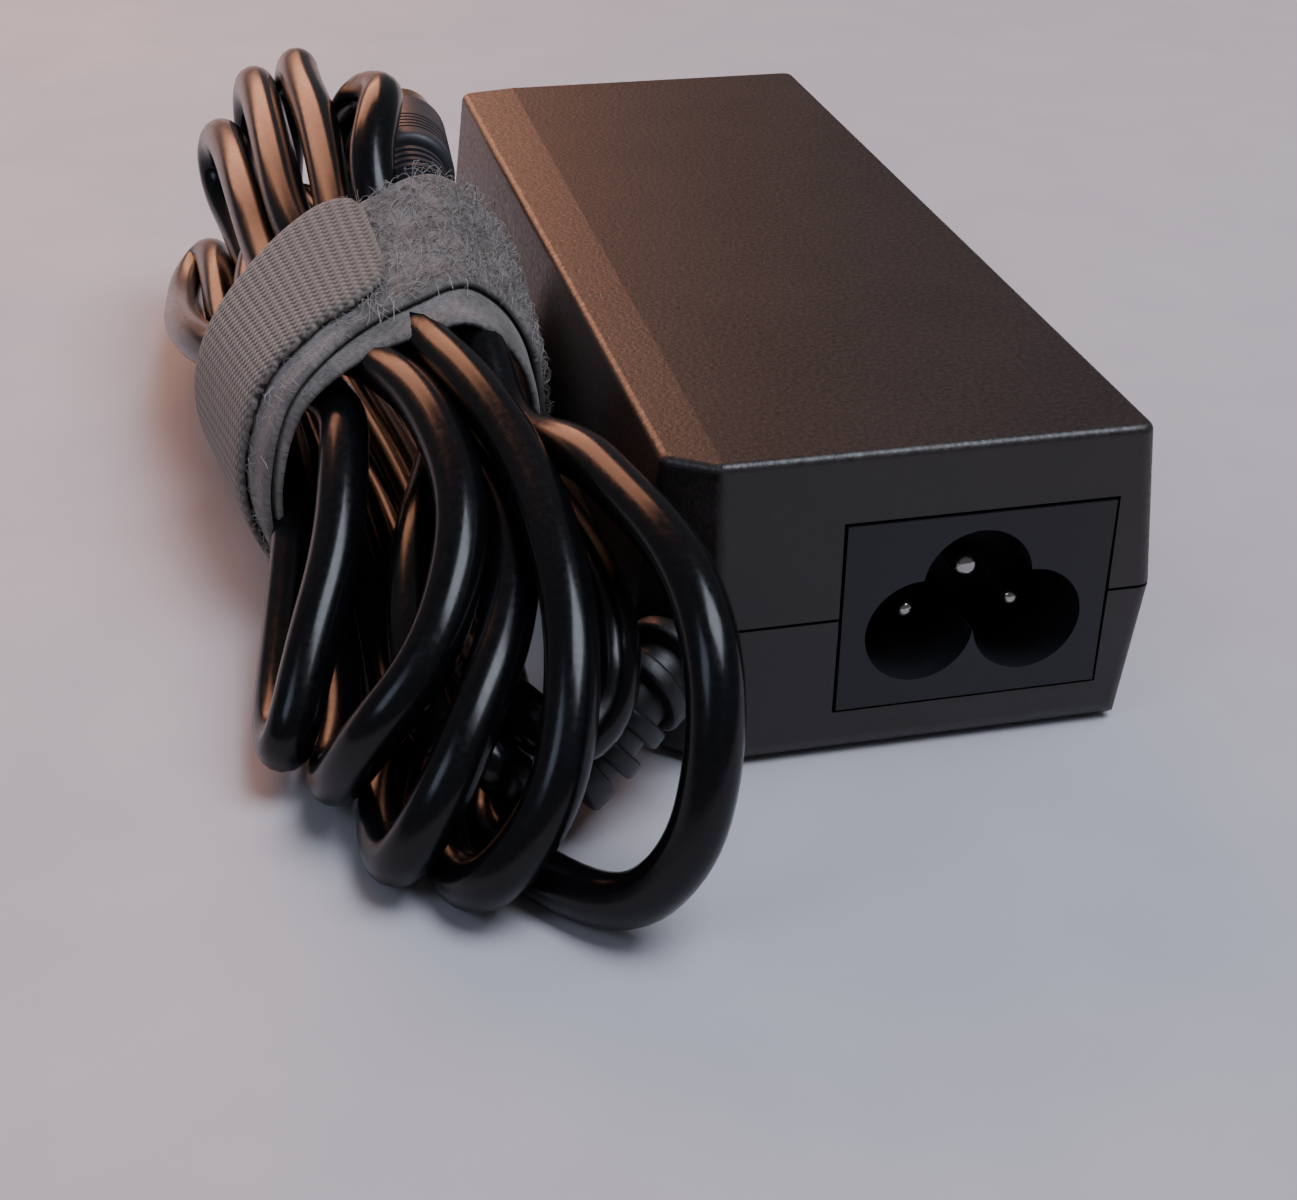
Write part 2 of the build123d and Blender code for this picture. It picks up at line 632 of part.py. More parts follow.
def make_plug_insulator():
    """Plastic liner between the two sleeves, closed behind the bore."""
    start = PLUG_TAIL_LENGTH + PLUG_BODY_LENGTH - BARREL_INSIDE_LENGTH
    length = BARREL_INSIDE_LENGTH + BARREL_LENGTH - 0.4
    liner_r = BARREL_R - BARREL_WALL
    liner = plug_disc(start, length, liner_r)
    bore_start = start + length - BORE_DEPTH
    liner -= plug_disc(bore_start, BORE_DEPTH, liner_r - INSULATOR_WALL)
    return liner - plug_disc(start, length, CENTRE_PIN_R)


def make_plug_inner_sleeve():
    """Inner contact sleeve, lining the bore."""
    start = PLUG_TAIL_LENGTH + PLUG_BODY_LENGTH + BARREL_LENGTH - 0.4 - BORE_DEPTH
    outer_r = BARREL_R - BARREL_WALL - INSULATOR_WALL
    return plug_disc(start, BORE_DEPTH - 0.4, outer_r) - plug_disc(start, BORE_DEPTH, BORE_R)


def make_plug_centre_pin():
    """Thin sensing pin down the middle of the bore."""
    start = PLUG_TAIL_LENGTH + PLUG_BODY_LENGTH - BARREL_INSIDE_LENGTH
    pin = plug_disc(start, BARREL_INSIDE_LENGTH + BARREL_LENGTH - 1.4, CENTRE_PIN_R)
    return fillet(pin.edges().filter_by(GeomType.CIRCLE).sort_by(Axis.Y)[-1], CENTRE_PIN_R * 0.8)


def build_nodes():
    """Every sub-part by its node's name."""
    line, neutral, earth = pin_places()
    hank = make_cord_hank()
    relief = make_strain_relief()
    grip = make_plug_overmould()
    nodes = {
        "upper_shell": make_upper_shell(),
        "lower_shell": make_lower_shell(),
        "inlet_housing": make_inlet_housing(),
        "inlet_pin_line": make_inlet_pin(*line, LIVE_TIP_Y),
        "inlet_pin_neutral": make_inlet_pin(*neutral, LIVE_TIP_Y),
        "inlet_pin_earth": make_inlet_pin(*earth, EARTH_TIP_Y),
        "inlet_leads": make_inlet_leads(),
        "circuit_board": make_circuit_board(),
        "heat_spreader_bottom": make_channel(19.35, WALL + 0.1, SPREADER_THICKNESS, 8.0),
        "insulating_film": make_channel(18.85, WALL + 0.7, FILM_THICKNESS, 9.0),
        "heat_spreader_top": make_top_spreader(),
        "fuse": make_fuse(),
        "thermistor": make_thermistor(),
        "x_capacitor": make_x_capacitor(),
        "mains_choke_core": make_choke_core(),
        "mains_choke_winding": make_choke_winding(),
        "bridge_rectifier": make_bridge_rectifier(),
        "bulk_capacitor": make_bulk_capacitor(),
        "transformer_core": make_transformer_core(),
        "transformer_winding": make_transformer_winding(),
        "primary_heatsink": make_heatsink(17.95, 34.0, 22.0, 17.0, -1.2),
        "switching_transistor": make_power_package(15.15, 34.0),
        "secondary_heatsink": make_heatsink(-17.95, 20.0, 22.0, 17.0, 1.2),
        "output_rectifier": make_power_package(-15.15, 18.0),
        "output_capacitors": make_output_capacitors(),
        "output_choke": make_output_choke(),
        "optocoupler": make_optocoupler(),
        "y_capacitor": make_y_capacitor(),
        "control_chip": make_control_chip(),
        "output_leads": make_output_leads(),
        "strain_relief": relief,
        "lead_from_case": make_tube(LEAD_START, "lead_from_case") - hank - relief,
        "cord_hank": hank,
        "lead_to_plug": make_tube(LEAD_END, "lead_to_plug") - hank - grip,
        "cable_strap": make_cable_strap(),
        "plug_overmould": grip,
        "plug_barrel": make_plug_barrel(),
        "plug_insulator": make_plug_insulator(),
        "plug_inner_sleeve": make_plug_inner_sleeve(),
        "plug_centre_pin": make_plug_centre_pin(),
    }
    return nodes


def main():
    """Build every sub-part and write one STEP file for each."""
    os.makedirs("parts", exist_ok=True)
    for name, shape in build_nodes().items():
        export_step(shape, f"parts/{name}.step")


main()
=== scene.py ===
"""Looks of a laptop power adapter with its output lead wound into a strapped hank.

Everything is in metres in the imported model's own frame: +X across the case, +Y along it away
from the mains inlet, +Z up, with the origin in the middle of the underside.
"""

import json
import logging
import math
from dataclasses import dataclass, field, replace
from enum import Enum
from typing import Any, Optional, Sequence

import bpy
import numpy as np
from mathutils import Matrix, Vector

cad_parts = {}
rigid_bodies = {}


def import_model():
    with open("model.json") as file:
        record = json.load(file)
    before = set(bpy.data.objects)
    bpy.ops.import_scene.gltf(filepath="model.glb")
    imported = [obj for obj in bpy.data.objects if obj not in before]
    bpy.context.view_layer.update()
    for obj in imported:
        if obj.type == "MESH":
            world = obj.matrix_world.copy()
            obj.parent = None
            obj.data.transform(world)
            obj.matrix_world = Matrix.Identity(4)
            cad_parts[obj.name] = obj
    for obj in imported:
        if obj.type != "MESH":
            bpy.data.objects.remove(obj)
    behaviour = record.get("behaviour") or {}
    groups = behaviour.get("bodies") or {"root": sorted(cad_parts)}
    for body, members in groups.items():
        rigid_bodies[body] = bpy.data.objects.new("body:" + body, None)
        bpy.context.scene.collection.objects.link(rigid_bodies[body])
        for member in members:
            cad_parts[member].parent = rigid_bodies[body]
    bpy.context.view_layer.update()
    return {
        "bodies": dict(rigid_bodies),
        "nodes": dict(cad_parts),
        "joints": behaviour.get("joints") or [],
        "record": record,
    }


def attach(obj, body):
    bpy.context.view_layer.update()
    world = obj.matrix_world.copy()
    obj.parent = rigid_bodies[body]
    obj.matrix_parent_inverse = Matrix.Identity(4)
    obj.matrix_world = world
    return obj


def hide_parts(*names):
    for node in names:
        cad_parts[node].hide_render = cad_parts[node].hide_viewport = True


MM = 0.001
ROOT = "root"
log = logging.getLogger("power_adapter")

Point = tuple[float, float, float]
Route = list[Point]


# ---------------------------------------------------------------- materials


def linear(code: str) -> tuple[float, float, float, float]:
    """Turn an sRGB hex code into the linear colour that a shader takes.

    Args:
        code: Six hex digits, such as "3a3a3c".

    Returns:
        Linear red, green and blue, and an alpha of one.
    """
    parts = [int(code[i : i + 2], 16) / 255 for i in (0, 2, 4)]
    red, green, blue = (c / 12.92 if c <= 0.04045 else ((c + 0.055) / 1.055) ** 2.4 for c in parts)
    return (red, green, blue, 1.0)


def add(
    tree: bpy.types.NodeTree,
    kind: str,
    values: Optional[dict[Any, Any]] = None,
    links: Optional[dict[Any, tuple[bpy.types.Node, Any]]] = None,
    **settings: Any,
) -> bpy.types.Node:
    """Add a node with its settings, input values and links.

    Args:
        tree: The material's node tree.
        kind: The node's type name.
        values: Input socket to value.
        links: Input socket to the node and output that feed it.
        **settings: Properties of the node itself.

    Returns:
        The new node.
    """
    node = tree.nodes.new(kind)
    for name, value in settings.items():
        setattr(node, name, value)
    for socket, value in (values or {}).items():
        node.inputs[socket].default_value = value
    for socket, (source, output) in (links or {}).items():
        tree.links.new(source.outputs[output], node.inputs[socket])
    return node


class Coordinates(Enum):
    """Where a finish reads its pattern from."""

    OBJECT = "Object"
    UV = "UV"


@dataclass(frozen=True)
class Finish:
    """A finish: two close tones mixed by a grain, with roughness and relief from the same grain."""

    name: str
    tone: str
    second_tone: str
    grain_mm: float
    roughness: float
    roughness_spread: float = 0.06
    relief_mm: float = 0.0
    relief_strength: float = 0.4
    metallic: float = 0.0
    ior: float = 1.5
    specular: float = 0.5
    sheen: float = 0.0
    stretch: Point = (1.0, 1.0, 1.0)

    def material(self) -> bpy.types.Material:
        """Build the material, once for each name."""
        known = bpy.data.materials.get(self.name)
        if known:
            return known
        made = bpy.data.materials.new(self.name)
        made.use_nodes = True
        made.node_tree.nodes.clear()
        self.fill(made.node_tree)
        return made

    def shader(self, tree: bpy.types.NodeTree) -> bpy.types.Node:
        """Add the surface shader with its constant settings, joined to the output."""
        values = {
            "Metallic": self.metallic,
            "IOR": self.ior,
            "Specular IOR Level": self.specular,
            "Sheen Weight": self.sheen,
            "Sheen Roughness": 0.5,
        }
        shader = add(tree, "ShaderNodeBsdfPrincipled", values)
        add(tree, "ShaderNodeOutputMaterial", links={"Surface": (shader, "BSDF")})
        return shader

    def placed(self, tree: bpy.types.NodeTree, source: Coordinates) -> bpy.types.Node:
        """Add the coordinates, stretched as the grain runs."""
        where = add(tree, "ShaderNodeTexCoord")
        links = {"Vector": (where, source.value)}
        return add(tree, "ShaderNodeMapping", {"Scale": self.stretch}, links)

    def fill(self, tree: bpy.types.NodeTree) -> None:
        """Lay out the nodes of a moulded, sintered, plated or dipped surface."""
        shader = self.shader(tree)
        place = self.placed(tree, Coordinates.OBJECT)
        scale = 1.0 / (self.grain_mm * MM)
        grain = add(
            tree, "ShaderNodeTexNoise", {"Scale": scale, "Detail": 3.0, "Roughness": 0.6},
            {"Vector": (place, 0)}
        )
        cloud = add(tree, "ShaderNodeTexNoise", {"Scale": 70.0, "Detail": 2.0}, {"Vector": (place, 0)})
        both = add(tree, "ShaderNodeMath", {}, {0: (grain, "Fac"), 1: (cloud, "Fac")}, operation="ADD")
        share = add(tree, "ShaderNodeMapRange", {"From Min": 0.7, "From Max": 1.3}, {"Value": (both, 0)})
        tones = {6: linear(self.tone), 7: linear(self.second_tone)}
        mix = add(tree, "ShaderNodeMix", tones, {0: (share, 0)}, data_type="RGBA")
        tree.links.new(mix.outputs[2], shader.inputs["Base Color"])
        low, high = self.roughness - self.roughness_spread, self.roughness + self.roughness_spread
        rough = add(
            tree, "ShaderNodeMapRange", {"From Min": 0.3, "From Max": 0.7, "To Min": low, "To Max": high},
            {"Value": (grain, "Fac")},
        )
        tree.links.new(rough.outputs[0], shader.inputs["Roughness"])
        if self.relief_mm:
            values = {"Strength": self.relief_strength, "Distance": self.relief_mm * MM}
            bump = add(tree, "ShaderNodeBump", values, {"Height": (grain, "Fac")})
            tree.links.new(bump.outputs[0], shader.inputs["Normal"])


@dataclass(frozen=True)
class HookAndLoop(Finish):
    """Hook-and-loop tape: looped pile all along, and a woven hook tab from tab_start on.

    The piece's UV map holds metres along the tape and across it.
    """

    tab_start_m: float = 0.18
    tab_tone: str = "857c74"
    tab_second_tone: str = "5a534d"
    rib_mm: float = 1.15
    thread_mm: float = 0.8

    def fill(self, tree: bpy.types.NodeTree) -> None:
        """Lay out the nodes: pile tones and tufts, ribs of the woven tab, and their relief."""
        shader = self.shader(tree)
        place = add(tree, "ShaderNodeTexCoord")
        parts = add(tree, "ShaderNodeSeparateXYZ", {}, {0: (place, Coordinates.UV.value)})
        tuft = add(tree, "ShaderNodeTexNoise",
                   {"Scale": 1.0 / (self.grain_mm * MM), "Detail": 4.0, "Roughness": 0.7},
                   {"Vector": (place, Coordinates.UV.value)})
        wide = add(tree, "ShaderNodeTexNoise", {"Scale": 160.0, "Detail": 3.0},
                   {"Vector": (place, Coordinates.UV.value)})
        stir = add(tree, "ShaderNodeMath", {}, {0: (tuft, "Fac"), 1: (wide, "Fac")}, operation="ADD")
        share = add(tree, "ShaderNodeMapRange", {"From Min": 0.75, "From Max": 1.3}, {"Value": (stir, 0)})
        pile = add(tree, "ShaderNodeMix", {6: linear(self.second_tone), 7: linear(self.tone)},
                   {0: (share, 0)},
                   data_type="RGBA")
        turn = 2 * math.pi
        rib_phase = add(tree, "ShaderNodeMath", {1: turn / (self.rib_mm * MM)}, {0: (parts, 0)},
                        operation="MULTIPLY")
        rib = add(tree, "ShaderNodeMath", {}, {0: (rib_phase, 0)}, operation="SINE")
        thread_phase = add(tree, "ShaderNodeMath", {1: turn / (self.thread_mm * MM)}, {0: (parts, 1)},
                           operation="MULTIPLY")
        thread = add(tree, "ShaderNodeMath", {}, {0: (thread_phase, 0)}, operation="SINE")
        weave = add(tree, "ShaderNodeMath", {}, {0: (rib, 0), 1: (thread, 0)}, operation="MULTIPLY")
        raised = add(tree, "ShaderNodeMath", {1: 0.8}, {0: (rib, 0), 2: (weave, 0)},
                     operation="MULTIPLY_ADD")
        stitched = add(tree, "ShaderNodeMapRange", {"From Min": -1.4, "From Max": 1.4},
                       {"Value": (raised, 0)})
        cloth = add(tree, "ShaderNodeMix", {6: linear(self.tab_second_tone), 7: linear(self.tab_tone)},
                    {0: (stitched, 0)}, data_type="RGBA")
        on_tab = add(tree, "ShaderNodeMath", {1: self.tab_start_m}, {0: (parts, 0)},
                     operation="GREATER_THAN")
        face = add(tree, "ShaderNodeMix", {}, {0: (on_tab, 0), 6: (pile, 2), 7: (cloth, 2)},
                   data_type="RGBA")
        tree.links.new(face.outputs[2], shader.inputs["Base Color"])
        rough = add(tree, "ShaderNodeMapRange",
                    {"To Min": self.roughness - 0.08, "To Max": self.roughness + 0.06},
                    {"Value": (tuft, "Fac")})
        tree.links.new(rough.outputs[0], shader.inputs["Roughness"])
        height = add(tree, "ShaderNodeMix", {}, {0: (on_tab, 0), 2: (tuft, "Fac"), 3: (stitched, 0)},
                     data_type="FLOAT")
        values = {"Strength": self.relief_strength, "Distance": self.relief_mm * MM}
        bump = add(tree, "ShaderNodeBump", values, {"Height": (height, 0)})
        tree.links.new(bump.outputs[0], shader.inputs["Normal"])


# Moulded ABS and polycarbonate, spark-eroded mould: a dark shell whose coarse grain glitters.
CASE_PLASTIC = Finish("spark_eroded_case_plastic", "221d1b", "2c2522", 0.5, 0.42, 0.1, 0.11, 0.45, ior=1.53)
# Moulded nylon of the inlet block: a little smoother and blacker than the case.
INLET_PLASTIC = Finish("moulded_nylon_inlet", "111113", "18181b", 0.35, 0.46, 0.06, 0.05, 0.3)
# Nickel plating over brass pins: bright, with faint drawn streaks.
NICKEL = Finish("nickel_plated_brass", "c9c6bf", "aeaaa2", 0.25, 0.2, 0.08, 0.01, 0.2, metallic=1.0)
# Nickel and gold wash over the plug's drawn brass sleeve.
DRAWN_BRASS = Finish("drawn_plated_brass", "c39a63", "a97c49", 0.4, 0.24, 0.08, 0.01, 0.2, metallic=1.0)
# Soft vinyl of the cord's jacket: black, smooth and glossy, with long soft highlights.
CORD_VINYL = Finish("soft_vinyl_cord_jacket", "09090b", "0e0e11", 0.6, 0.22, 0.05, 0.01, 0.2, specular=0.32)
# Moulded vinyl of the strain relief: satin.
RELIEF_VINYL = Finish("moulded_vinyl_relief", "121214", "1a1a1d", 0.4, 0.45, 0.06, 0.03, 0.3)
# Moulded vinyl of the plug's grip: greyer and duller than the cord.
PLUG_VINYL = Finish("moulded_vinyl_grip", "2b2c30", "35363a", 0.4, 0.5, 0.06, 0.04, 0.3)
# Polyamide liner between the plug's sleeves.
LINER = Finish("polyamide_liner", "0d0d0e", "141415", 0.4, 0.35, 0.04, 0.01, 0.2)
# Nylon hook-and-loop tape: grey looped pile, brown-grey woven hook tab.
STRAP_TAPE = HookAndLoop("nylon_hook_and_loop", "8f8984", "524d49", 0.6, 0.85, 0.05, 0.35, 0.8, sheen=0.25)
# Loose nylon fibres pulled up from the pile.
STRAP_FIBRE = Finish("nylon_pile_fibre", "a39e99", "827e7a", 0.8, 0.6, 0.08)
# Glass-epoxy board with a green solder mask.
LAMINATE = Finish("glass_epoxy_board", "1f4a24", "2b5c2d", 1.2, 0.4, 0.08, 0.03, 0.3)
# Rolled aluminium sheet, drawn along its length.
SHEET_ALUMINIUM = Finish("rolled_aluminium", "bcbdbf", "9fa1a4", 0.4, 0.35, 0.1, 0.02, 0.3, metallic=1.0,
                         stretch=(1.0, 0.08, 1.0))
# Black polyester film.
FILM = Finish("polyester_film", "18181a", "202022", 1.5, 0.25, 0.05)
# Dark-grey sintered ferrite.
FERRITE = Finish("sintered_ferrite", "2c2b2d", "3a393b", 0.3, 0.6, 0.08, 0.04, 0.4)
# Enamelled copper wire.
COPPER = Finish("enamelled_copper", "b5622f", "96491f", 0.6, 0.28, 0.08, 0.02, 0.2, metallic=1.0)
# Black epoxy of chip packages, matt from the mould.
EPOXY = Finish("moulded_epoxy", "151515", "1f1f1f", 0.3, 0.55, 0.08, 0.02, 0.3)
# Shrunk sleeve of the electrolytic capacitors.
SLEEVE = Finish("shrunk_sleeve", "161c2c", "1f2740", 1.4, 0.32, 0.06)
# Yellow polyester winding tape.
TAPE = Finish("polyester_winding_tape", "c9a53a", "b08d2c", 1.8, 0.3, 0.06)
# Mustard-yellow box of the film capacitor.
FILM_CAPACITOR = Finish("moulded_capacitor_box", "b5963a", "a2842f", 1.0, 0.4, 0.06, 0.02, 0.2)
# Dipped coatings of the two discs.
GREEN_DIP = Finish("dipped_green_coating", "2c4a2c", "355a33", 0.8, 0.45, 0.08, 0.05, 0.4)
BLUE_DIP = Finish("dipped_blue_coating", "2d5b96", "3a6aa6", 0.8, 0.45, 0.08, 0.05, 0.4)
# Vinyl insulation of the short wires inside.
WIRE = Finish("wire_insulation", "141414", "1c1c1c", 0.8, 0.35, 0.06)


# ---------------------------------------------------------------- meshes


def new_piece(name: str, verts: np.ndarray, faces: Sequence[Sequence[int]]) -> bpy.types.Object:
    """Make a mesh piece that rides on the case.

    Args:
        name: The piece's name.
        verts: Points in metres, one a row.
        faces: Indices of each face.

    Returns:
        The new object, linked to the scene.
    """
    mesh = bpy.data.meshes.new(name)
    mesh.from_pydata([tuple(v) for v in verts], [], [tuple(f) for f in faces])
    mesh.update()
    piece = bpy.data.objects.new(name, mesh)
    bpy.context.scene.collection.objects.link(piece)
    settle_in(piece)
    return piece


def settle_in(piece: bpy.types.Object) -> None:
    """Ride a piece on the case."""
    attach(piece, ROOT)


def dress(frame: dict[str, Any], finish: Finish, *names: str) -> None:
    """Give CAD nodes a finish."""
    for name in names:
        slots = frame["nodes"][name].data.materials
        slots.clear()
        slots.append(finish.material())
    log.info("%s: %s", finish.name, ", ".join(names))


# ---------------------------------------------------------------- cord


def spline_weights(count: int, steps: int) -> np.ndarray:
    """Weights that turn a quadratic spline's control points into points on its line.

    Args:
        count: How many control points there are.
        steps: Points on the line for each control point.

    Returns:
        One row for each point on the line.
    """
    rows = []
    for first in range(count - 2):
        start, end = np.zeros(count), np.zeros(count)
        if first == 0:
            start[0] = 1.0
        else:
            start[first] = start[first + 1] = 0.5
        if first == count - 3:
            end[count - 1] = 1.0
        else:
            end[first + 1] = end[first + 2] = 0.5
        middle = np.zeros(count)
        middle[first + 1] = 1.0
        for step in range(steps):
            t = step / steps
            rows.append((1 - t) ** 2 * start + 2 * t * (1 - t) * middle + t * t * end)
    last = np.zeros(count)
    last[-1] = 1.0
    rows.append(last)
    return np.array(rows)


@dataclass(frozen=True)
class Turn:
    """One turn of the hank, in millimetres: a loop in front of the strap and one behind it."""

    name: str
    front: Route
    back: Route


# Each front loop runs from the strap's lower side, round its nose on the floor, to the top.
# Each back loop runs from the top, round its bend, to the lower side.
TURNS = [
    Turn(
        "hidden",
        front=[(-42.0, -57.0, 11.0), (-42.2, -47.0, 15.0), (-40.2, -37.0, 17.6), (-37.4, -28.0, 19.2),
               (-35.4, -19.0, 19.8)],
        back=[(-36.8, -6.0, 22.6), (-38.8, 8.0, 25.2), (-40.2, 22.0, 25.4), (-41.2, 34.0, 24.0),
              (-43.6, 41.0, 20.0),
              (-46.8, 41.0, 16.6), (-49.8, 32.0, 15.4), (-51.4, 16.0, 15.0), (-51.4, 0.0, 14.0)],
    ),
    Turn(
        "outer_left",
        front=[(-50.6, -18.0, 11.6), (-52.0, -32.0, 6.0), (-51.8, -44.6, 1.9), (-50.2, -51.6, 3.6),
               (-49.2, -45.6, 10.8), (-47.0, -37.2, 17.0), (-45.0, -28.6, 21.8), (-43.8, -19.0, 25.0)],
        back=[(-50.0, -8.0, 23.6), (-55.0, 2.0, 19.2), (-57.4, 14.0, 15.4), (-57.8, 28.0, 12.0),
              (-57.6, 41.0, 9.0),
              (-56.9, 52.0, 7.6), (-55.0, 57.6, 8.2), (-52.2, 56.6, 10.8), (-50.8, 46.0, 12.8),
              (-51.4, 30.0, 12.0),
              (-51.8, 14.0, 10.2), (-50.6, 0.0, 8.6)],
    ),
    Turn(
        "left_low",
        front=[(-48.0, -18.0, 6.6), (-47.4, -32.0, 3.4), (-47.4, -44.0, 2.2), (-48.0, -54.8, 2.0),
               (-44.8, -59.2, 9.8),
               (-40.4, -56.4, 15.6), (-37.2, -50.2, 21.0), (-36.0, -42.6, 24.7), (-37.6, -31.0, 26.8),
               (-40.6, -19.0, 27.6)],
        back=[(-44.6, -9.0, 29.0), (-48.2, 1.0, 30.0), (-49.2, 10.0, 30.2), (-49.9, 25.0, 29.9),
              (-50.4, 42.0, 28.0),
              (-51.0, 55.0, 25.8), (-51.5, 60.4, 21.6), (-51.2, 58.4, 16.4), (-50.4, 50.0, 13.4),
              (-49.4, 34.0, 11.8),
              (-47.6, 16.0, 10.6), (-45.2, 0.0, 8.2)],
    ),
    Turn(
        "middle_low",
        front=[(-43.4, -18.0, 5.8), (-42.8, -32.0, 3.0), (-42.8, -46.0, 2.3), (-45.2, -57.0, 2.2),
               (-43.6, -65.6, 1.7),
               (-40.2, -66.0, 7.9), (-37.4, -60.6, 13.8), (-35.0, -53.6, 18.1), (-33.8, -45.4, 21.8),
               (-35.4, -34.0, 23.2), (-38.2, -19.0, 23.8)],
        back=[(-40.8, -9.0, 28.6), (-44.0, 1.0, 32.0), (-45.1, 10.0, 33.0), (-46.0, 26.0, 33.4),
              (-46.4, 44.0, 33.2),
              (-46.4, 57.0, 31.6), (-46.9, 63.4, 26.6), (-47.4, 62.4, 19.6), (-47.8, 54.0, 13.0),
              (-47.4, 42.0, 8.2),
              (-45.6, 26.0, 5.8), (-42.6, 10.0, 5.2), (-39.8, -2.0, 5.2)],
    ),
    Turn(
        "middle_high",
        front=[(-38.6, -18.0, 5.2), (-38.2, -31.0, 2.8), (-38.2, -44.0, 2.4), (-41.2, -57.0, 2.2),
               (-39.4, -69.8, 1.7),
               (-33.4, -69.4, 9.3), (-30.9, -63.8, 16.2), (-29.8, -55.8, 22.3), (-30.0, -44.0, 26.4),
               (-32.6, -31.0, 28.6), (-36.0, -19.0, 28.6)],
        back=[(-38.6, -9.0, 31.2), (-41.0, 2.0, 34.2), (-41.5, 14.0, 35.0), (-41.6, 28.0, 35.4),
              (-41.6, 42.0, 35.2),
              (-41.2, 54.0, 34.4), (-41.8, 60.6, 29.6), (-43.0, 60.6, 22.6), (-44.4, 54.0, 16.6),
              (-44.6, 40.0, 13.2),
              (-43.2, 24.0, 11.6), (-40.6, 8.0, 10.6)],
    ),
    Turn(
        "inner_right",
        front=[(-38.4, -6.0, 10.4), (-37.0, -20.0, 10.0), (-37.6, -33.0, 8.6), (-37.8, -46.0, 8.2),
               (-37.0, -56.6, 9.6),
               (-33.0, -65.6, 9.6), (-28.9, -63.2, 12.9), (-27.1, -59.2, 16.8), (-26.8, -53.0, 19.2),
               (-27.6, -45.0, 21.0), (-29.2, -33.0, 21.8), (-30.6, -19.0, 22.6)],
        back=[(-32.4, -9.0, 25.4), (-37.2, -2.0, 29.8), (-37.4, 6.0, 34.8), (-35.0, 14.0, 38.6),
              (-34.2, 22.0, 39.4),
              (-36.2, 31.6, 36.6), (-39.4, 37.0, 29.6), (-40.2, 37.0, 21.6), (-38.8, 28.0, 13.6),
              (-37.2, 16.0, 7.2),
              (-35.4, 2.0, 5.2)],
    ),
]
LAST_FRONT: Route = [
    (-34.4, -12.0, 5.0), (-33.8, -22.0, 4.4), (-33.6, -35.0, 2.8), (-33.8, -46.0, 2.4), (-36.0, -56.0, 2.3),
    (-38.0, -64.0, 2.2), (-30.7, -74.6, 1.5), (-25.4, -77.0, 8.1), (-22.9, -75.0, 17.2), (-22.0, -69.9,
        23.8),
    (-22.2, -61.6, 27.2), (-24.4, -50.6, 27.4), (-26.6, -42.0, 26.8), (-28.0, -31.0, 27.0),
]
# The start leaves the boot as the solid model's lead does, then rises into the hank where that
# lead stays low. The end repeats the solid model's lead to the plug.
LEAD_START: Route = [(-31.6, -60.2, 5.6), (-34.8, -61.5, 4.8), (-38.4, -61.6, 7.2)]
LEAD_END: Route = [(-31.4, -21.0, 28.4), (-32.7, -8.0, 31.4), (-33.9, 5.0, 32.8)]


@dataclass
class StrapOutline:
    """Outside of the strap's ring in the XZ plane, in millimetres, at its front and back edges."""

    front_y: float = -20.0
    back_y: float = 3.0
    middle: tuple[float, float] = (-40.5, 17.0)
    front: list[tuple[float, float]] = field(
        default_factory=lambda: [
            (-35.0, 33.4), (-29.4, 31.2), (-25.6, 25.6), (-24.6, 17.0), (-26.0, 8.0), (-31.5, 1.8),
            (-41.0, 0.3),
            (-49.6, 1.8), (-53.6, 8.5), (-54.0, 16.5), (-51.0, 25.0), (-44.0, 30.8),
        ]
    )
    back: list[tuple[float, float]] = field(
        default_factory=lambda: [
            (-35.9, 37.6), (-28.9, 35.2), (-24.4, 28.0), (-23.5, 18.0), (-25.0, 8.0), (-31.0, 1.6),
            (-41.0, 0.3),
            (-50.6, 1.6), (-56.4, 8.0), (-57.9, 16.0), (-54.6, 24.4), (-46.4, 32.8),
        ]
    )

    def at(self, turn: float, y: float) -> np.ndarray:
        """Point (x, z) on the outline.

        Args:
            turn: Share of a turn, clockwise from the top as seen from the front.
            y: Where along the hank.
        """
        count = len(self.front)
        share = (turn % 1.0) * count
        index = int(share)
        t = share - index
        depth = min(max((y - self.front_y) / (self.back_y - self.front_y), -0.2), 1.2)
        ring = np.array(self.front) * (1 - depth) + np.array(self.back) * depth
        a, b, c, d = (ring[(index + step) % count] for step in (-1, 0, 1, 2))
        square = 2 * a - 5 * b + 4 * c - d
        cube = 3 * b - a - 3 * c + d
        return 0.5 * (2 * b + (c - a) * t + square * t**2 + cube * t**3)

    def limits(self, y: float, inset: float) -> tuple[np.ndarray, np.ndarray]:
        """Angle and radius about the middle of the outline, drawn in by inset."""
        points = np.array([self.at(k / 96, y) for k in range(96)]) - self.middle
        angles = np.arctan2(points[:, 1], points[:, 0])
        order = np.argsort(angles)
        return angles[order], np.hypot(points[order, 0], points[order, 1]) - inset


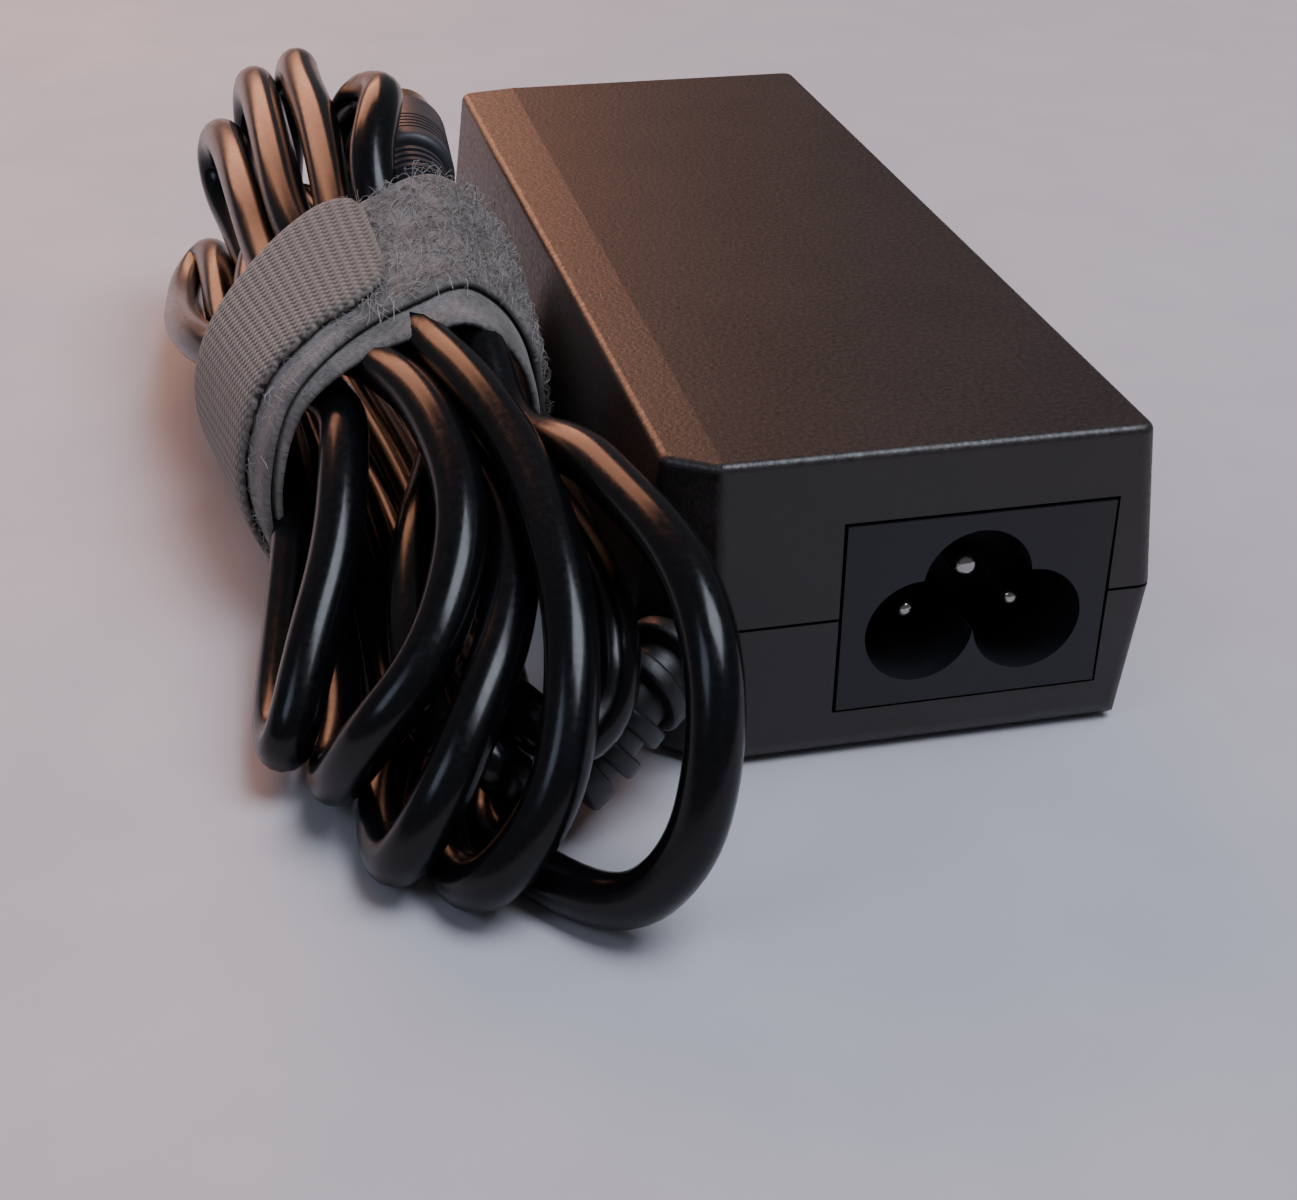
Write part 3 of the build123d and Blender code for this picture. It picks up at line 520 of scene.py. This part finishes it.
@dataclass
class CordHank:
    """The output lead: from the strain relief, round the hank's turns, to the plug."""

    outline: StrapOutline
    diameter_mm: float = 4.6
    length_m: float = 1.8
    gap_mm: float = 0.12
    rounds: int = 90
    samples: int = 5
    reach_mm: float = 4.5
    push_gain: float = 1.5
    near_share: float = 3.2
    case_left: float = -23.0
    case_front: float = -54.0
    case_top: float = 31.0
    boot_mm: float = 4.5
    plug_tail_mm: float = 4.1
    plug_grip_mm: float = 5.0
    held_from: float = -19.5
    held_to: float = 1.5
    corner: tuple[float, float] = (-21.6, -50.2)
    corner_normal: tuple[float, float] = (-0.628, -0.778)
    strap_thickness: float = 2.6
    relief: Route = field(
        default_factory=lambda: [(-19.2, -52.1, 12.2), (-23.0, -56.4, 12.0), (-27.4, -58.4, 7.8),
                                 (-31.6, -60.2, 5.6)]
    )
    plug: Route = field(default_factory=lambda: [(-33.4, 10.0, 32.3), (-32.5, 19.0, 31.4),
                                                 (-29.8, 46.0, 28.8)])

    def route(self) -> np.ndarray:
        """All the control points, in millimetres, from the case to the plug."""
        points: Route = list(LEAD_START)
        for turn in TURNS:
            points += turn.front + turn.back
        points += LAST_FRONT + LEAD_END
        return np.array(points)

    def push_from_rods(self, line: np.ndarray, rods: Route, radius: float) -> np.ndarray:
        """Move points that are inside a bent rod out to its surface.

        Args:
            line: Points, one a row.
            rods: The rod's own line.
            radius: How far from that line the points stay.

        Returns:
            The move for each point.
        """
        move = np.zeros_like(line)
        for start, end in zip(np.array(rods[:-1]), np.array(rods[1:])):
            along = end - start
            share = np.clip((line - start) @ along / (along @ along), 0, 1)
            away = line - (start + share[:, None] * along)
            far = np.linalg.norm(away, axis=1)
            short = np.clip(radius - far, 0, None)
            move += away / np.maximum(far, 0.01)[:, None] * short[:, None]
        return move

    def push_apart(self, line: np.ndarray, walked: np.ndarray) -> np.ndarray:
        """Move stretches of the cord that lie in each other half the overlap each."""
        reach = self.diameter_mm + self.gap_mm
        gaps = line[:, None, :] - line[None, :, :]
        far = np.linalg.norm(gaps, axis=2)
        apart = np.abs(walked[:, None] - walked[None, :]) > self.near_share * self.diameter_mm
        short = np.where(apart, np.clip(reach - far, 0, None), 0)
        share = 0.5 * short / np.maximum(far, 0.05)
        count = np.maximum((short > 0).sum(axis=1), 1)
        return (gaps * share[:, :, None]).sum(axis=1) / np.sqrt(count)[:, None]

    def push_clear(self, line: np.ndarray, rings: dict[int, tuple[np.ndarray, np.ndarray]]) -> np.ndarray:
        """Move points above the floor, into the strap and off the case, boot and plug.

        Args:
            line: Points, one a row.
            rings: Angle and radius of the room inside the strap, at each whole millimetre along it.

        Returns:
            The move for each point.
        """
        radius = self.diameter_mm / 2
        move = np.zeros_like(line)
        normal = np.array(self.corner_normal)
        walls = np.stack(
            [self.case_left - line[:, 0], self.case_front - line[:, 1],
             (line[:, :2] - self.corner) @ normal]
        )
        nearest = walls.argmax(axis=0)
        short = np.clip(radius + self.gap_mm - walls.max(axis=0), 0, None) * (line[:, 2] < self.case_top)
        outward = np.array([(-1.0, 0.0), (0.0, -1.0), tuple(normal)])[nearest]
        move[:, :2] += outward * short[:, None]
        inside = 4 * self.samples
        move[inside:] += self.push_from_rods(line[inside:], self.relief, self.boot_mm + radius)
        move[:-inside] += self.push_from_rods(line[:-inside], self.plug[:2], self.plug_tail_mm + radius)
        move[:-inside] += self.push_from_rods(line[:-inside], self.plug[1:], self.plug_grip_mm + radius)
        held = np.flatnonzero((line[:, 1] > self.held_from) & (line[:, 1] < self.held_to))
        for index in held:
            x, y, z = line[index]
            angles, radii = rings[int(round(y))]
            offset = np.array([x, z]) - self.outline.middle
            far = math.hypot(*offset)
            limit = np.interp(math.atan2(offset[1], offset[0]), angles, radii, period=2 * math.pi)
            if far > limit:
                move[index, [0, 2]] -= offset / far * (far - limit)
        low = radius + 0.05 - (line[:, 2] + move[:, 2])
        move[:, 2] += np.clip(low, 0, None)
        return move

    def settled(self) -> np.ndarray:
        """The route with its stretches eased apart over a fixed number of rounds."""
        route = points = self.route()
        inset = self.strap_thickness + self.diameter_mm / 2
        rings = {y: self.outline.limits(y, inset) for y in range(-20, 3)}
        weights = spline_weights(len(points), self.samples)
        share = weights / np.maximum(weights.sum(axis=0), 1e-6)
        free = np.ones((len(points), 1))
        free[:2] = free[-3:] = 0.0
        for _ in range(self.rounds):
            line = weights @ points
            walked = np.concatenate([[0], np.cumsum(np.linalg.norm(np.diff(line, axis=0), axis=1))])
            move = self.push_apart(line, walked) + self.push_clear(line, rings)
            nudge = share.T @ move * self.push_gain
            eased = nudge.copy()
            eased[1:-1] = 0.25 * nudge[:-2] + 0.5 * nudge[1:-1] + 0.25 * nudge[2:]
            shift = points + eased * free - route
            far = np.linalg.norm(shift, axis=1, keepdims=True)
            points = route + shift * np.minimum(1, self.reach_mm / np.maximum(far, 0.01))
        line = weights @ points
        walked = np.concatenate([[0], np.cumsum(np.linalg.norm(np.diff(line, axis=0), axis=1))])
        far = np.linalg.norm(line[:, None] - line[None, :], axis=2)
        far[np.abs(walked[:, None] - walked[None, :]) < self.near_share * self.diameter_mm] = np.inf
        log.info("cord length %.3f m, nearest stretches %.2f mm apart", walked[-1] * MM, far.min())
        return points

    def build(self) -> bpy.types.Object:
        """Make the cord as one smooth spline.

        Returns:
            The cord's curve object.
        """
        points = self.settled() * MM
        curve = bpy.data.curves.new("output_cord", "CURVE")
        curve.dimensions = "3D"
        spline = curve.splines.new("NURBS")
        spline.points.add(len(points) - 1)
        for place, point in zip(spline.points, points):
            place.co = (*point, 1.0)
        spline.order_u = 3
        spline.use_endpoint_u = True
        spline.resolution_u = 8
        curve.bevel_depth = self.diameter_mm / 2 * MM
        curve.bevel_resolution = 6
        curve.use_fill_caps = True
        curve.materials.append(CORD_VINYL.material())
        cord = bpy.data.objects.new("output_cord", curve)
        bpy.context.scene.collection.objects.link(cord)
        settle_in(cord)
        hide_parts("lead_from_case", "cord_hank", "lead_to_plug")
        return cord


# ---------------------------------------------------------------- strap


@dataclass
class CableStrap:
    """Hook-and-loop strap wound twice round the hank, its hook tab outermost at the left."""

    outline: StrapOutline
    width_mm: float = 20.0
    start_turn: float = -0.34
    end_turn: float = 1.965
    tab_turn: float = 1.44
    pitch_mm: float = 1.12
    thickness_mm: float = 1.0
    steps: int = 460
    across: int = 26
    inner_front_y: float = -22.0
    outer_front_y: float = -16.6
    corner_mm: float = 5.0
    tab_jag: float = 0.009
    pile_jag: float = 0.0015
    ring_mm: float = 118.0
    fibre_count: int = 2600
    fibre_sides: int = 3
    fibre_joints: int = 6

    def front_edge(self, turn: float) -> float:
        """Where the tape's front edge lies along the hank."""
        share = min(max((turn - 0.72) / 0.4, 0), 1)
        eased = share * share * (3 - 2 * share)
        return self.inner_front_y + (self.outer_front_y - self.inner_front_y) * eased

    def layers_over(self, turn: float) -> float:
        """How many layers lie over the tape here; it eases outward past the end of the one over it."""
        over = self.end_turn - turn
        whole = math.floor(over)
        share = max((over - whole - 0.9) / 0.1, 0)
        return whole + share * share * (3 - 2 * share)

    def place(self, turn: float, share: float, lift: float) -> np.ndarray:
        """Point on the tape, in millimetres.

        Args:
            turn: Turns wound from the top.
            share: Across the tape, 0 at its front edge and 1 at its back edge.
            lift: Distance outward from the tape's middle surface.
        """
        y = self.front_edge(turn) + share * self.width_mm
        here = self.outline.at(turn, y)
        ahead = self.outline.at(turn + 0.004, y)
        along = (ahead - here) / np.linalg.norm(ahead - here)
        outward = np.array([-along[1], along[0]])
        inset = self.pitch_mm * self.layers_over(turn) + self.thickness_mm / 2
        x, z = here + outward * (lift - inset)
        return np.array([x, y, z])

    def build(self) -> bpy.types.Object:
        """Make the tape as one closed band.

        Returns:
            The strap.
        """
        rng = np.random.default_rng(11)
        turns = np.linspace(self.start_turn, self.end_turn, self.steps)
        middle = np.array([self.place(t, 0.5, 0) for t in turns])
        walked = np.concatenate([[0], np.cumsum(np.linalg.norm(np.diff(middle, axis=0), axis=1))])
        total = walked[-1]
        jag = rng.normal(0, 1, self.steps)
        verts, coords = [], []
        for side in (1, -1):
            for index, turn in enumerate(turns):
                left = total - walked[index]
                cut = 0.0
                if left < self.corner_mm:
                    inward = math.sqrt(max(self.corner_mm**2 - (self.corner_mm - left) ** 2, 0))
                    cut = (self.corner_mm - inward) / self.width_mm
                rough = (self.tab_jag if turn > self.tab_turn else self.pile_jag) * jag[index]
                for step in range(self.across + 1):
                    share = step / self.across
                    edge = cut + (rough if step == 0 else 0) + share * (1 - 2 * cut)
                    rim = min(step, self.across - step)
                    thin = (0.45, 0.85)[rim] if rim < 2 else 1.0
                    lift = side * thin * self.thickness_mm / 2
                    verts.append(self.place(turn, edge, lift))
                    coords.append((walked[index], edge * self.width_mm))
        faces = self.band_faces()
        strap = new_piece("cable_tie_strap", np.array(verts) * MM, faces)
        layer = strap.data.uv_layers.new(name="tape")
        for loop in strap.data.loops:
            u, v = coords[loop.vertex_index]
            layer.data[loop.index].uv = (u * MM, v * MM)
        strap.data.materials.append(self.finish(turns, walked).material())
        for face in strap.data.polygons:
            face.use_smooth = True
        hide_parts("cable_strap")
        log.info("strap length %.1f mm", total)
        return strap

    def finish(self, turns: np.ndarray, walked: np.ndarray) -> HookAndLoop:
        """The tape's finish, with the hook tab starting where it should."""
        start = float(np.interp(self.tab_turn, turns, walked)) * MM
        return replace(STRAP_TAPE, tab_start_m=start)

    def band_faces(self) -> list[tuple[int, ...]]:
        """Faces of the closed band: outside, inside, both edges and both ends."""
        row = self.across + 1
        under = self.steps * row
        faces: list[tuple[int, ...]] = []
        for i in range(self.steps - 1):
            for j in range(self.across):
                a = i * row + j
                faces.append((a, a + 1, a + row + 1, a + row))
                faces.append((under + a, under + a + row, under + a + row + 1, under + a + 1))
            first, last = i * row, i * row + self.across
            faces.append((first, first + row, under + first + row, under + first))
            faces.append((last, under + last, under + last + row, last + row))
        for j in range(self.across):
            tail = (self.steps - 1) * row + j
            faces.append((j, under + j, under + j + 1, j + 1))
            faces.append((tail, tail + 1, under + tail + 1, under + tail))
        return faces

    def build_pile(self) -> bpy.types.Object:
        """Loose fibres that stand up from the pile where it shows, each a thin bent hair."""
        rng = np.random.default_rng(5)
        verts: list[np.ndarray] = []
        faces: list[tuple[int, ...]] = []
        sides, joints = self.fibre_sides, self.fibre_joints
        for _ in range(self.fibre_count):
            turn = rng.uniform(0.93, 1.42)
            if rng.random() < 0.2:
                turn = rng.uniform(0.42, 0.98)
            share = rng.uniform(0.0, 1.0)
            heading = rng.uniform(0, 2 * math.pi)
            length = rng.uniform(1.2, 3.4)
            height = rng.uniform(0.25, 0.95)
            bend = rng.normal(0, 0.5)
            radius = rng.uniform(0.022, 0.04)
            line = []
            for k in range(joints):
                t = k / (joints - 1)
                angle = heading + bend * t
                step_turn = turn + math.cos(angle) * length * t / self.ring_mm
                step_share = share + math.sin(angle) * length * t / self.width_mm
                lift = self.thickness_mm / 2 + height * math.sin(math.pi * min(t * 1.15, 1)) - 0.05
                line.append(self.place(step_turn, step_share, lift))
            base = len(verts)
            for k, point in enumerate(line):
                ahead = line[min(k + 1, joints - 1)] - line[max(k - 1, 0)]
                ahead = ahead / np.linalg.norm(ahead)
                across = np.cross(ahead, (0.3, 0.5, 0.81))
                across = across / np.linalg.norm(across)
                up = np.cross(ahead, across)
                for side in range(sides):
                    angle = 2 * math.pi * side / sides
                    verts.append(point + radius * (math.cos(angle) * across + math.sin(angle) * up))
            for k in range(joints - 1):
                for side in range(sides):
                    a = base + k * sides + side
                    b = base + k * sides + (side + 1) % sides
                    faces.append((a, b, b + sides, a + sides))
            faces.append(tuple(base + side for side in reversed(range(sides))))
            faces.append(tuple(base + (joints - 1) * sides + side for side in range(sides)))
        pile = new_piece("strap_pile_fibres", np.array(verts) * MM, faces)
        pile.data.materials.append(STRAP_FIBRE.material())
        return pile


# ---------------------------------------------------------------- strain relief


@dataclass(frozen=True)
class Collar:
    """One ring of the strain relief: its share along the boot, radius and thickness."""

    share: float
    radius_mm: float
    depth_mm: float


@dataclass
class StrainRelief:
    """Ringed boot where the lead leaves the case: a flange, rings and an end collar on a bent core."""

    path: Route = field(
        default_factory=lambda: [(-17.4, -50.6, 12.2), (-20.6, -53.9, 12.3), (-25.4, -57.4, 11.2),
                                 (-28.6, -58.9, 7.4),
                                 (-31.4, -60.1, 5.7)]
    )
    core_mm: float = 3.0
    collars: tuple[Collar, ...] = (
        Collar(0.30, 4.6, 1.8), Collar(0.47, 4.3, 1.7), Collar(0.63, 4.1, 1.7), Collar(0.79, 3.9, 1.7),
        Collar(0.95, 3.7, 2.4),
    )

    def build(self) -> bpy.types.Object:
        """Model the boot as one piece with rounded rings.

        Returns:
            The boot, which stands for the solid model's strain relief.
        """
        points = np.array(self.path)
        line = spline_weights(len(points), 12) @ points
        walked = np.concatenate([[0], np.cumsum(np.linalg.norm(np.diff(line, axis=0), axis=1))])
        parts = [self.rod(line, walked)]
        for collar in self.collars:
            where = collar.share * walked[-1]
            here, ahead = (np.array([np.interp(s, walked, line[:, k]) for k in range(3)])
                           for s in (where, where + 0.3))
            bpy.ops.object.select_all(action="DESELECT")
            turn = Vector(ahead - here).to_track_quat("Z", "Y").to_euler()
            bpy.ops.mesh.primitive_cylinder_add(vertices=64, radius=collar.radius_mm * MM,
                                                depth=collar.depth_mm * MM, location=here * MM,
                                                rotation=turn)
            ring = bpy.context.object
            rounding = ring.modifiers.new("rounding", "BEVEL")
            rounding.width = 0.4 * MM
            rounding.segments = 3
            bpy.ops.object.modifier_apply(modifier=rounding.name)
            parts.append(ring)
        bpy.ops.object.select_all(action="DESELECT")
        for part in parts:
            part.select_set(True)
        bpy.context.view_layer.objects.active = parts[0]
        bpy.ops.object.join()
        boot = bpy.context.object
        bpy.ops.object.transform_apply(location=True, rotation=True, scale=True)
        bpy.ops.object.shade_smooth_by_angle(angle=math.radians(40))
        boot.name = "strain_relief_boot"
        boot.data.materials.clear()
        boot.data.materials.append(RELIEF_VINYL.material())
        settle_in(boot)
        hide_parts("strain_relief")
        return boot

    def rod(self, line: np.ndarray, walked: np.ndarray) -> bpy.types.Object:
        """The boot's core: a closed bent cylinder through the rings."""
        sides = 40
        verts, faces = [], []
        for index, point in enumerate(line):
            ahead = line[min(index + 1, len(line) - 1)] - line[max(index - 1, 0)]
            ahead = ahead / np.linalg.norm(ahead)
            side = np.cross(ahead, (0.0, 0.0, 1.0))
            side = side / np.linalg.norm(side)
            rise = np.cross(side, ahead)
            for k in range(sides):
                angle = 2 * math.pi * k / sides
                verts.append(point + self.core_mm * (math.cos(angle) * side + math.sin(angle) * rise))
            if index:
                base = (index - 1) * sides
                for k in range(sides):
                    other = (k + 1) % sides
                    faces.append((base + k, base + sides + k, base + sides + other, base + other))
        last = (len(line) - 1) * sides
        faces.append(tuple(range(sides)))
        faces.append(tuple(last + k for k in reversed(range(sides))))
        mesh = bpy.data.meshes.new("boot_core")
        mesh.from_pydata([tuple(v * MM) for v in verts], [], faces)
        mesh.update()
        core = bpy.data.objects.new("boot_core", mesh)
        bpy.context.scene.collection.objects.link(core)
        return core


# ---------------------------------------------------------------- case and insides


@dataclass
class Adapter:
    """The case, its inlet, the insides and the plug, which keep their CAD shapes."""

    frame: dict[str, Any]

    def dress_case(self) -> None:
        """Finish the two shells, the inlet and its pins."""
        dress(self.frame, CASE_PLASTIC, "upper_shell", "lower_shell")
        dress(self.frame, INLET_PLASTIC, "inlet_housing")
        dress(self.frame, NICKEL, "inlet_pin_line", "inlet_pin_neutral", "inlet_pin_earth")

    def dress_insides(self) -> None:
        """Finish what is sealed inside the case."""
        dress(self.frame, WIRE, "inlet_leads", "output_leads")
        dress(self.frame, LAMINATE, "circuit_board")
        dress(self.frame, SHEET_ALUMINIUM, "heat_spreader_bottom", "heat_spreader_top", "primary_heatsink",
              "secondary_heatsink")
        dress(self.frame, FILM, "insulating_film")
        dress(self.frame, EPOXY, "fuse", "bridge_rectifier", "switching_transistor", "output_rectifier",
              "optocoupler", "control_chip")
        dress(self.frame, GREEN_DIP, "thermistor")
        dress(self.frame, BLUE_DIP, "y_capacitor")
        dress(self.frame, FILM_CAPACITOR, "x_capacitor")
        dress(self.frame, FERRITE, "mains_choke_core", "transformer_core", "output_choke")
        dress(self.frame, COPPER, "mains_choke_winding")
        dress(self.frame, SLEEVE, "bulk_capacitor", "output_capacitors")
        dress(self.frame, TAPE, "transformer_winding")

    def dress_cord_ends(self) -> None:
        """Finish the plug."""
        dress(self.frame, PLUG_VINYL, "plug_overmould")
        dress(self.frame, DRAWN_BRASS, "plug_barrel", "plug_inner_sleeve", "plug_centre_pin")
        dress(self.frame, LINER, "plug_insulator")


# ---------------------------------------------------------------- stage


@dataclass
class Studio:
    """Camera, floor, lights and surroundings."""

    eye_mm: Point = (-59.12, -197.62, 105.23)
    forward: Point = (0.20936, 0.83689, -0.50576)
    upward: Point = (0.10625, 0.49469, 0.86255)
    lens_mm: float = 57.26

    def place_camera(self) -> None:
        """Set the camera in front of the inlet, above and to the left of it."""
        data = bpy.data.cameras.new("view")
        data.lens = self.lens_mm
        data.sensor_width = 36.0
        data.clip_start = 0.01
        camera = bpy.data.objects.new("view", data)
        back = -Vector(self.forward).normalized()
        right = Vector(self.upward).cross(back).normalized()
        up = back.cross(right)
        turn = Matrix((right, up, back)).transposed().to_4x4()
        camera.matrix_world = Matrix.Translation(Vector(self.eye_mm) * MM) @ turn
        bpy.context.scene.collection.objects.link(camera)
        bpy.context.scene.camera = camera

    def lay_floor(self) -> None:
        """A plain pale floor."""
        bpy.ops.object.select_all(action="DESELECT")
        bpy.ops.mesh.primitive_plane_add(size=8.0, location=(0, 0, 0))
        floor = bpy.context.object
        floor.name = "floor"
        paint = Finish("pale_painted_floor", "c9c8cc", "c2c1c6", 40.0, 0.6, 0.05)
        floor.data.materials.append(paint.material())

    def light(self, name: str, place: Point, aim: Point, size: float, power: float, colour: str) -> None:
        """Add a soft square light.

        Args:
            name: The light's name.
            place: Where it stands, in metres.
            aim: Where it points.
            size: Side of the square, in metres.
            power: Watts.
            colour: sRGB hex code.
        """
        data = bpy.data.lights.new(name, "AREA")
        data.size = size
        data.energy = power
        data.color = linear(colour)[:3]
        lamp = bpy.data.objects.new(name, data)
        lamp.location = place
        lamp.rotation_euler = (Vector(aim) - Vector(place)).to_track_quat("-Z", "Y").to_euler()
        bpy.context.scene.collection.objects.link(lamp)

    def light_up(self) -> None:
        """Soft studio light: a wide one behind, a cool one at the left, and a dim pale surround."""
        self.light("back_window", (-0.3, 1.3, 0.7), (0, 0, 0), 0.9, 14.0, "ffb089")
        self.light("left_window", (-0.9, -0.5, 0.9), (-0.03, -0.03, 0.02), 0.5, 2.5, "d3e0ff")
        self.light("overhead", (0.45, -0.3, 1.3), (0, 0, 0), 0.8, 19.0, "e8eeff")
        world = bpy.data.worlds.new("surround")
        world.use_nodes = True
        world.node_tree.nodes["Background"].inputs["Color"].default_value = linear("d9dbe4")
        world.node_tree.nodes["Background"].inputs["Strength"].default_value = 0.16
        bpy.context.scene.world = world


def main() -> None:
    """Build and dress every piece, then lay the floor and light the scene."""
    logging.basicConfig(level=logging.INFO, format="%(name)s: %(message)s")
    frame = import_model()
    studio = Studio()
    studio.place_camera()
    outline = StrapOutline()
    hank = CordHank(outline)
    cord = hank.build()
    strap_maker = CableStrap(outline)
    strap = strap_maker.build()
    pile = strap_maker.build_pile()
    boot = StrainRelief().build()
    adapter = Adapter(frame)
    adapter.dress_case()
    adapter.dress_insides()
    adapter.dress_cord_ends()
    nodes = frame["nodes"]
    ends = [nodes[name] for name in ("plug_overmould", "plug_barrel", "plug_insulator", "plug_inner_sleeve",
                                     "plug_centre_pin")]
    ends.append(boot)
    studio.lay_floor()
    studio.light_up()


if __name__ == "__main__":
    main()
